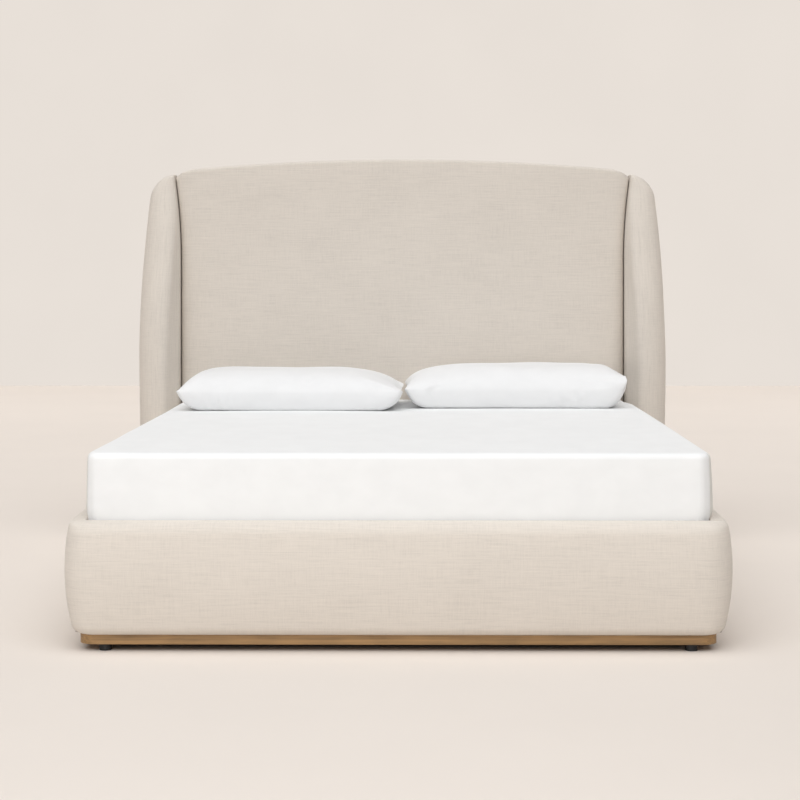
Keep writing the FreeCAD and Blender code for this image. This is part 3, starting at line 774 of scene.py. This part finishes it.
class BED_OT_headboard_pad(bpy.types.Operator):
    """Make the headboard's padded linen front"""
    bl_idname = "bed.headboard_pad"
    bl_label = "Headboard Pad"

    def execute(self, context):
        cover = context.scene.bed_upholstery
        low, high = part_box("headboard_pad")
        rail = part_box("rail_pad_right")
        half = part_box("wing_cover_right")[0].x - cover.pad_gap
        notch = (rail[1].z + cover.seam_gap, rail[0].x - cover.seam_gap)
        edges = (cover.pad_round, cover.pad_side_round, cover.pad_side_depth)
        face = headboard_face(cover, half, low.z, notch, low.y, high.y, edges, cover.pad_swell, 1)
        bm = skirt(PANEL_COLUMNS, PANEL_ROWS, *face)
        thicken(finish_linen("headboard_linen_pad", bm, "headboard_pad"), 0.0015)
        return {"FINISHED"}


class BED_OT_back_cover(bpy.types.Operator):
    """Make the cloth that lines the headboard's back"""
    bl_idname = "bed.back_cover"
    bl_label = "Back Cover"

    def execute(self, context):
        cover = context.scene.bed_upholstery
        look = context.scene.bed_finish
        low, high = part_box("headboard_back_cover")
        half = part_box("wing_cover_right")[0].x - 2 * cover.seam_gap
        edges = (0.003, 0.003, 0.003)
        face = headboard_face(cover, half, low.z, (low.z, half), high.y, low.y, edges, 0.0, -1)
        bm = skirt(PANEL_COLUMNS, PANEL_ROWS, *face)
        material = once("linen_lining", linen, tuple(look.lining), look.thread)
        thicken(finish_piece("headboard_back_lining", bm, material, "frame",
                             "headboard_back_cover", fill=0.9), 0.0012)
        return {"FINISHED"}


def rounded_plan(value, count, half, corner, cells):
    """Spreads grid lines so that some of them fall in the rounded corners."""
    i = (value + 1) / 2 * count
    if i <= cells:
        return -half + corner * i / cells
    if i >= count - cells:
        return half - corner * (count - i) / cells
    return place_between(-half + corner, half - corner, (i - cells) / (count - 2 * cells))


def mattress_face(low, high, corner, edge, columns, rows, bottom, hem, wave, bulge):
    """A function that places a point of a block with rounded corners: the top, then down its sides."""
    middle = (low + high) / 2
    half_x, half_y = (high.x - low.x) / 2, (high.y - low.y) / 2
    turns, falls, cells = 8, 14, 7

    def place(s, t, step):
        turned = min(step, turns) / turns * math.pi / 2
        pull = edge * (1 - math.sin(turned))
        z = high.z - edge * (1 - math.cos(turned))
        if step > turns:
            fall = step - turns
            z = place_between(high.z - edge, bottom + edge, min(fall, falls) / falls)
            if fall > falls:
                under = math.radians((fall - falls) * hem / 4)
                pull = edge * (1 - math.cos(under))
                z = bottom + edge * (1 - math.sin(under))
        radius = corner - pull
        x = rounded_plan(s, columns, half_x - pull, radius, cells)
        y = rounded_plan(t, rows, half_y - pull, radius, cells)
        cx, cy = half_x - pull - radius, half_y - pull - radius
        if abs(x) > cx and abs(y) > cy:
            dx, dy = (abs(x) - cx) / radius, (abs(y) - cy) / radius
            x = math.copysign(cx + radius * dx * math.sqrt(1 - dy * dy / 2), x)
            y = math.copysign(cy + radius * dy * math.sqrt(1 - dx * dx / 2), y)
        outward = Vector((x if abs(x) > cx else 0.0, y if abs(y) > cy else 0.0, 0.0)).normalized()
        point = Vector((middle.x + x, middle.y + y, z))
        reach = held(max(abs(x) - cx, abs(y) - cy) / radius)
        point += outward * reach * bulge(z, outward.x, point.y)
        if wave:
            lift = abs(wander(point, 0.30, wave)) + abs(wander(point, 0.09, wave * 0.3))
            if step <= turns // 2:
                point.z += lift
            else:
                point += outward * min(lift, 0.003)
        return point

    return place, turns + falls + 4


def side_bulge(bedding):
    """How far the mattress's sides stand out at a point: they press on the rails, and draw in at the top."""
    rail_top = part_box("rail_pad_right")[1].z
    foot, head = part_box("mattress")[0].y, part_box("wing_cover_right")[0].y
    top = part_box("mattress")[1].z

    def bulge(z, across, y):
        full = bedding.fullness * (1 - 0.75 * held((z - rail_top) / (top - rail_top)) ** 2)
        lying = held((y - foot) / 1.4)
        if across > 0:
            # The right side stands out further towards the head, except beside the wing.
            free = 1 - 0.8 * ease((y - head + 0.15) / 0.15)
            full += across ** 2 * (0.9 * full + free * place_between(0.006, 0.019, lying))
        else:
            full += across ** 2 * place_between(0.006, -0.006, lying)
        return place_between(full, min(full, 0.003), ease((rail_top + 0.02 - z) / 0.03))

    return bulge


class BED_OT_mattress(bpy.types.Operator):
    """Make the mattress in its own ticking"""
    bl_idname = "bed.mattress"
    bl_label = "Mattress"

    def execute(self, context):
        bedding = context.scene.bed_bedding
        low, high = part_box("mattress")
        bm = skirt(40, 48, *mattress_face(low, high, bedding.corner, bedding.edge, 40, 48, low.z, 90, 0.0,
                                          side_bulge(bedding)))
        bmesh.ops.holes_fill(bm, edges=[e for e in bm.edges if e.is_boundary])
        bmesh.ops.recalc_face_normals(bm, faces=bm.faces)
        material = once("ticking_woven", cotton, tuple(context.scene.bed_finish.ticking), 0.0010)
        finish_piece("mattress_ticking_cover", bm, material, "mattress", "mattress",
                     fill=0.95)
        return {"FINISHED"}


class BED_OT_fitted_sheet(bpy.types.Operator):
    """Make the fitted sheet stretched over the mattress"""
    bl_idname = "bed.fitted_sheet"
    bl_label = "Fitted Sheet"

    def execute(self, context):
        bedding = context.scene.bed_bedding
        low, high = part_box("fitted_sheet")
        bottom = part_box("mattress")[0].z
        bm = skirt(100, 130, *mattress_face(low, high, bedding.corner + 0.002, bedding.edge + 0.002, 100, 130,
                                            bottom, 40, bedding.sheet_wave, side_bulge(bedding)))
        material = once("cotton_percale_sheet", cotton, tuple(context.scene.bed_finish.sheet), 0.0016)
        piece = finish_piece("fitted_sheet_cotton", bm, material, "mattress", "fitted_sheet")
        thicken(piece, bedding.sheet_thickness)
        return {"FINISHED"}


def fill_pillow(piece, pressure, cap, floor_z):
    """Fills a pillow with the cloth solver, limits how far each point moves, and keeps it as plain mesh."""
    start = [v.co.copy() for v in piece.data.vertices]
    cloth = piece.modifiers.new("fill", "CLOTH")
    cloth_values = {
        "quality": 6, "mass": 0.25, "use_pressure": True, "uniform_pressure_force": pressure,
        "tension_stiffness": 12, "compression_stiffness": 12, "shear_stiffness": 4, "bending_stiffness": 0.15,
    }
    for name, value in cloth_values.items():
        setattr(cloth.settings, name, value)
    cloth.settings.effector_weights.gravity = 0
    scene = bpy.context.scene
    for frame_number in range(1, 21):
        scene.frame_set(frame_number)
    filled = piece.evaluated_get(bpy.context.evaluated_depsgraph_get())
    finals = [v.co.copy() for v in filled.to_mesh().vertices]
    filled.to_mesh_clear()
    piece.modifiers.remove(cloth)
    scene.frame_set(1)
    for vert, before, after in zip(piece.data.vertices, start, finals):
        step = after - before
        if step.length > cap:
            step = step.normalized() * cap
        vert.co = before + step
        vert.co.z = max(vert.co.z, floor_z)


def fit_pillow(piece, low, high):
    """Spreads a filled pillow over its own length and width again."""
    mesh = piece.data
    for axis in (0, 1):
        values = [v.co[axis] for v in mesh.vertices]
        first, last = min(values), max(values)
        for vert in mesh.vertices:
            vert.co[axis] = place_between(low[axis], high[axis], (vert.co[axis] - first) / (last - first))


def crease_pillow(piece, folds, floor_z):
    """Presses folds into a filled pillow's front. A fold is its ends as (x, z), its half width and height."""
    mesh = piece.data
    normals = [v.normal.copy() for v in mesh.vertices]
    for vert, normal in zip(mesh.vertices, normals):
        facing = held((-normal.y - 0.1) / 0.3)
        lift = 0.0
        for (x0, z0), (x1, z1), width, height in folds:
            run = Vector((x1 - x0, z1 - z0))
            offset = Vector((vert.co.x - x0, vert.co.z - z0))
            along = offset.dot(run) / run.length_squared
            aside = (run.x * offset.y - run.y * offset.x) / run.length / width
            if -0.5 < along < 1.5 and abs(aside) < 3:
                fade = math.exp(-(2.2 * (along - 0.5)) ** 4)
                lift += height * fade * (1.2 * math.exp(-aside ** 2) - 0.9 * math.exp(-(aside - 1.3) ** 2))
        vert.co += normal * lift * facing
        vert.co.z = max(vert.co.z, floor_z)


# How a pillow case's hem runs in under the cloth: grid columns from its edge, and the distance inwards there.
HEM = ((0, 0.0015), (3, 0.002), (7, 0.003), (14, 0.005))


def close_case(piece):
    """Turns the edge of a pillow case's open end in as a hem, and closes it deep inside."""
    bm = bmesh.new()
    bm.from_mesh(piece.data)
    place = bm.verts.layers.int.new("place")
    bm.normal_update()
    rim = [e for e in bm.edges if e.is_boundary]
    hem = {}
    for vert in {v for e in rim for v in e.verts}:
        step = next(e for e in vert.link_edges if not e.is_boundary)
        line = [vert]
        for _ in range(HEM[-1][0]):
            after = step.other_vert(line[-1])
            line.append(after)
            step = next(e for e in after.link_edges if not set(e.link_faces) & set(step.link_faces))
        hem[vert] = [line[i].co - line[i].normal * inset for i, inset in HEM]
    lines = list(hem.values())
    for i, vert in enumerate(hem):
        vert[place] = i
    for turn in range(len(HEM)):
        fresh, rim = extrude_rim(bm, rim)
        for vert in fresh:
            vert.co = lines[vert[place]][turn]
    bmesh.ops.contextual_create(bm, geom=rim)
    bmesh.ops.recalc_face_normals(bm, faces=bm.faces)
    bm.to_mesh(piece.data)
    bm.free()


# Each pillow: how blunt its left and right ends are (two powers each), how far each end is short of its
# box, how far its top is below its box, how high its seam lifts at its right end, half the height of its
# case's open end, a seed for its unevenness, and its folds.
PILLOWS = {
    "left": {
        "blunt": ((14, 2.0), (5, 1.0)), "short": (0.017, -0.002), "lower": 0.014,
        "end_lift": 0.0, "mouth": 0.0, "seed": 3.0,
        "folds": (
            ((-0.600, 0.520), (-0.560, 0.487), 0.006, 0.0036),
            ((-0.570, 0.516), (-0.535, 0.490), 0.005, 0.0029),
            ((-0.640, 0.515), (-0.610, 0.488), 0.006, 0.0025),
            ((-0.150, 0.590), (-0.030, 0.556), 0.009, 0.0040),
            ((-0.110, 0.572), (-0.020, 0.545), 0.006, 0.0022),
        ),
    },
    "right": {
        "blunt": ((5, 0.65), (9, 1.25)), "short": (-0.004, 0.024), "lower": 0.006,
        "end_lift": 0.028, "mouth": 0.019, "seed": 11.0,
        "folds": (
            ((0.500, 0.492), (0.590, 0.532), 0.006, 0.0054),
            ((0.545, 0.488), (0.620, 0.522), 0.005, 0.0043),
            ((0.450, 0.490), (0.520, 0.515), 0.006, 0.0029),
            ((0.600, 0.560), (0.700, 0.566), 0.008, 0.0032),
            ((0.120, 0.560), (0.060, 0.530), 0.008, 0.0032),
        ),
    },
}


# How far a pillow's lowest points stay above its box's bottom.
PILLOW_CLEAR = 0.0003


def pillow_point(bedding, pillow, low, high, s, t, side):
    """A point on a pillow's upper (side 1) or lower (side -1) cloth, before the pillow is filled."""
    middle = (low + high) / 2
    half_x, half_y = (high.x - low.x) / 2, (high.y - low.y) / 2
    seam_z = low.z + 0.054
    mouth, seed = pillow["mouth"], pillow["seed"]
    # The grid is closer near the seams, where the cloth turns.
    s = s * (1.3 - 0.3 * s * s)
    t = t * (1.3 - 0.3 * t * t)
    across, deep = abs(s), abs(t)
    x = middle.x + half_x * s * (1 - 0.018 * (1 - t * t))
    y = middle.y + half_y * t * (1 - bedding.pillow_draw / half_y * 2 * (1 - s * s))
    tip = 0.0 if mouth and s > 0 else 0.010 * abs(s * t) ** 16
    x -= math.copysign(tip, s)
    y -= math.copysign(tip, t)
    seam = seam_z + bedding.pillow_ear * across ** 6 * deep ** 4
    seam += pillow["end_lift"] * max(s, 0.0) ** 8
    seam += wander((s * 2 + seed, t * 2, 0), 1.0, 0.004)
    opening = mouth * ease((s - 0.75) / 0.25) * math.sqrt(1 - deep ** 8)
    if side > 0:
        power, fall = pillow["blunt"][s > 0]
        dome = (1 - across ** power) ** fall * (1 - deep ** 4) ** 0.7
        z = seam + (high.z - seam_z - pillow["lower"]) * dome + opening
        z += wander((x + seed, y, 3.0), 0.16, 0.004) * dome
    else:
        dome = (1 - across ** 14) ** 1.2 * (1 - deep ** 24) ** 0.5
        z = seam - (seam_z - low.z) * 1.12 * dome - opening
    return Vector((x, y, max(z, low.z + PILLOW_CLEAR)))


class BED_OT_pillows(bpy.types.Operator):
    """Make the two pillows and fill them"""
    bl_idname = "bed.pillows"
    bl_label = "Pillows"

    def execute(self, context):
        bedding = context.scene.bed_bedding
        material = once("cotton_pillow_case", cotton, tuple(context.scene.bed_finish.pillow), 0.0022)
        for word, pillow in PILLOWS.items():
            low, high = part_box("pillow_" + word)
            rest_z = low.z + PILLOW_CLEAR
            bm = bmesh.new()
            for side in (1, -1):
                for vert in bmesh.ops.create_grid(bm, x_segments=124, y_segments=80, size=1)["verts"]:
                    vert.co = pillow_point(bedding, pillow, low, high, vert.co.x, vert.co.y, side)
            bmesh.ops.remove_doubles(bm, verts=bm.verts, dist=1e-5)
            bmesh.ops.recalc_face_normals(bm, faces=bm.faces)
            piece = finish_piece("pillow_case_" + word, bm, material, "pillow_" + word,
                                 "pillow_" + word, fill=bedding.pillow_fill, sharp=75)
            fill_pillow(piece, bedding.pillow_pressure, bedding.pillow_cap, rest_z)
            short_left, short_right = pillow["short"]
            fit_pillow(piece, (low.x + short_left, low.y), (high.x - short_right, high.y))
            crease_pillow(piece, pillow["folds"], rest_z)
            if pillow["mouth"]:
                close_case(piece)
        return {"FINISHED"}


class BED_OT_webbing(bpy.types.Operator):
    """Make the two tapes that space the slats"""
    bl_idname = "bed.webbing"
    bl_label = "Webbing"

    def execute(self, context):
        low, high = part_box("slat_webbing")
        look = context.scene.bed_finish
        width = 0.025
        bm = bmesh.new()
        for side in (-1, 1):
            made = bmesh.ops.create_cube(bm, size=1)["verts"]
            bmesh.ops.scale(bm, vec=(width, high.y - low.y, high.z - low.z), verts=made)
            centre = Vector((side * (high.x - width / 2), (low.y + high.y) / 2, (low.z + high.z) / 2))
            bmesh.ops.translate(bm, vec=centre, verts=made)
        bmesh.ops.subdivide_edges(bm, edges=[e for e in bm.edges if e.calc_length() > 1], cuts=140)
        for vert in bm.verts:
            if vert.co.z < (low.z + high.z) / 2:
                vert.co.z -= abs(wander(vert.co, 0.06, 0.0006))
        bmesh.ops.recalc_face_normals(bm, faces=bm.faces)
        lay_weave(bm)
        material = once("polyester_webbing", linen, tuple(look.webbing), 0.0016)
        finish_piece("slat_tapes", bm, material, "frame", "slat_webbing", sharp=None)
        return {"FINISHED"}


def nodes_and_slots():
    """The frame's nodes, each as its name, itself and its material slot."""
    slots = {row["node"]: row["material_slot"] for row in frame["record"]["subparts"]}
    return [(name, node, slots[name]) for name, node in frame["nodes"].items()]


def dress(node, material):
    """Puts a material in every slot of one of the frame's nodes."""
    if not node.material_slots:
        node.data.materials.append(material)
    for place in node.material_slots:
        place.material = material


class BED_OT_timber(bpy.types.Operator):
    """Finish the plinth, frame, boards and slats"""
    bl_idname = "bed.timber"
    bl_label = "Timber"

    def execute(self, context):
        look = context.scene.bed_finish
        # Each slot's timber: its name, colour, roughness, width of grain in metres, and contrast.
        kinds = {
            "plinth_oak": ("oak_oiled", look.oak, 0.55, 0.005, 0.48),
            "frame_pine": ("pine_planed", look.pine, 0.62, 0.014, 0.16),
            "slat_beech": ("beech_planed", look.beech, 0.58, 0.009, 0.10),
            "plywood": ("birch_plywood", look.ply, 0.62, 0.012, 0.12),
        }
        for name, node, slot in nodes_and_slots():
            if slot not in kinds:
                continue
            words, rgb, roughness, grain, contrast = kinds[slot]
            low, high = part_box(name)
            extent = high - low
            axis = "XYZ"[max(range(3), key=lambda i: extent[i])]
            along = words + "_along_" + axis.lower()
            dress(node, once(along, timber, tuple(rgb), axis, roughness, grain, contrast))
        return {"FINISHED"}


class BED_OT_fittings(bpy.types.Operator):
    """Finish the steel fittings and the plastic glides"""
    bl_idname = "bed.fittings"
    bl_label = "Fittings"

    def execute(self, context):
        look = context.scene.bed_finish
        for _, node, slot in nodes_and_slots():
            if slot == "steel_zinc":
                dress(node, once("steel_zinc_plated", zinc, tuple(look.steel)))
            if slot == "glide_plastic":
                dress(node, once("nylon_moulded_black", nylon, tuple(look.plastic)))
        return {"FINISHED"}


# ---------------------------------------------------------------- stage


def paper_sheet(name, half_size, middle, tilt, material):
    """A flat sheet of studio paper, from its half width and depth, its middle and its tilt in degrees."""
    bm = bmesh.new()
    bmesh.ops.create_grid(bm, x_segments=1, y_segments=1, size=1)
    bmesh.ops.scale(bm, vec=(*half_size, 1), verts=bm.verts)
    bmesh.ops.rotate(bm, matrix=Matrix.Rotation(math.radians(tilt), 3, "X"), verts=bm.verts)
    bmesh.ops.translate(bm, vec=middle, verts=bm.verts)
    return make_object(name, bm, material)


# Seamless studio paper: matt, with the faint cloudiness of its fibres.
def studio_paper(name, rgb):
    material, tree, shader = start_material(name, {"Roughness": 0.95, "Specular IOR Level": 0.1})
    place = add_node(tree, "ShaderNodeTexCoord").outputs["Object"]
    surface(tree, shader, rgb, drawn_out(tree, place, (0.9, 0.9, 0.9), 4.0), [(0.3, 0.985), (0.7, 1.01)])
    return material


def lit_paper(name, paper):
    """A copy of the paper that is seen at its own colour, and lights the bed as plain paper does."""
    material = paper.copy()
    material.name = name
    tree = material.node_tree
    shader = tree.nodes["Principled BSDF"]
    colour_of = shader.inputs["Base Color"].links[0].from_socket
    glow = add_node(tree, "ShaderNodeEmission", {"Color": colour_of, "Strength": 1.0}).outputs[0]
    path = add_node(tree, "ShaderNodeLightPath").outputs
    seen = path["Is Camera Ray"]
    for other in ("Is Glossy Ray", "Is Transmission Ray"):
        seen = add_node(tree, "ShaderNodeMath", {0: seen, 1: path[other]}, operation="MAXIMUM").outputs[0]
    surface = tree.nodes["Material Output"].inputs["Surface"]
    add_node(tree, "ShaderNodeMixShader", {0: seen, 1: shader.outputs[0], 2: glow}, surface)
    return material


def add_lamp(name, kind, strength, place, towards):
    data = bpy.data.lights.new(name, kind)
    data.energy = strength
    made = bpy.data.objects.new(name, data)
    bpy.context.scene.collection.objects.link(made)
    made.location = place
    made.rotation_euler = (Vector(place) - Vector(towards)).to_track_quat("Z", "Y").to_euler()
    return data


class BED_OT_stage(bpy.types.Operator):
    """Make the floor, wall, lights and camera"""
    bl_idname = "bed.stage"
    bl_label = "Stage"

    def execute(self, context):
        scene = context.scene
        stage = scene.bed_stage
        scene.view_settings.view_transform = "Standard"

        paper = studio_paper("studio_paper", stage.paper)
        reach, wall_half = 30, 8
        floor = paper_sheet("studio_floor", (reach, reach), (0, stage.wall_distance - reach, 0), 0, paper)
        backdrop = paper_sheet("studio_wall", (reach, wall_half), (0, stage.wall_distance, wall_half), 90,
                               lit_paper("studio_wall_paper", paper))

        world = bpy.data.worlds.new("studio_air")
        scene.world = world
        world.use_nodes = True
        back = world.node_tree.nodes["Background"]
        back.inputs["Color"].default_value = (*linear("#F8F9FF"), 1)
        back.inputs["Strength"].default_value = stage.sky
        add_lamp("key_light", "SUN", stage.key, (-0.5, -4.6, 8.8), (0, 0, 0)).angle = math.radians(80)
        add_lamp("fill_light", "AREA", stage.fill, (-1.0, -4.6, 1.5), (0, 0, 0.5)).size = 2.4

        camera = bpy.data.cameras.new("camera")
        camera.lens = stage.lens
        camera.sensor_width = 36
        camera.shift_y = stage.shift
        made = bpy.data.objects.new("camera", camera)
        scene.collection.objects.link(made)
        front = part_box("fitted_sheet")[0].y
        made.location = (stage.camera_x, front - stage.camera_back, stage.camera_height)
        made.rotation_euler = (math.radians(90), 0, math.radians(0.344))
        scene.camera = made
        return {"FINISHED"}


STEPS = (
    BED_OT_stage, BED_OT_footboard_cover, BED_OT_rail_covers, BED_OT_wing_covers, BED_OT_headboard_pad,
    BED_OT_back_cover, BED_OT_mattress, BED_OT_fitted_sheet, BED_OT_pillows, BED_OT_webbing,
    BED_OT_timber, BED_OT_fittings,
)
GROUPS = (
    ("bed_upholstery", BED_PG_upholstery),
    ("bed_bedding", BED_PG_bedding),
    ("bed_finish", BED_PG_finish),
    ("bed_stage", BED_PG_stage),
)


class BED_PT_panel(bpy.types.Panel):
    """Lists the bed's pieces"""
    bl_idname = "BED_PT_panel"
    bl_label = "Upholstered Bed"
    bl_space_type = "VIEW_3D"
    bl_region_type = "UI"
    bl_category = "Bed"

    def draw(self, context):
        for step in STEPS:
            self.layout.operator(step.bl_idname)


def register():
    for name, group in GROUPS:
        bpy.utils.register_class(group)
        setattr(bpy.types.Scene, name, PointerProperty(type=group))
    for step in STEPS:
        bpy.utils.register_class(step)
    bpy.utils.register_class(BED_PT_panel)


def unregister():
    bpy.utils.unregister_class(BED_PT_panel)
    for step in reversed(STEPS):
        bpy.utils.unregister_class(step)
    for name, group in reversed(GROUPS):
        delattr(bpy.types.Scene, name)
        bpy.utils.unregister_class(group)


def main():
    register()
    for step in STEPS:
        group, word = step.bl_idname.split(".")
        getattr(getattr(bpy.ops, group), word)()


if __name__ == "__main__":
    main()
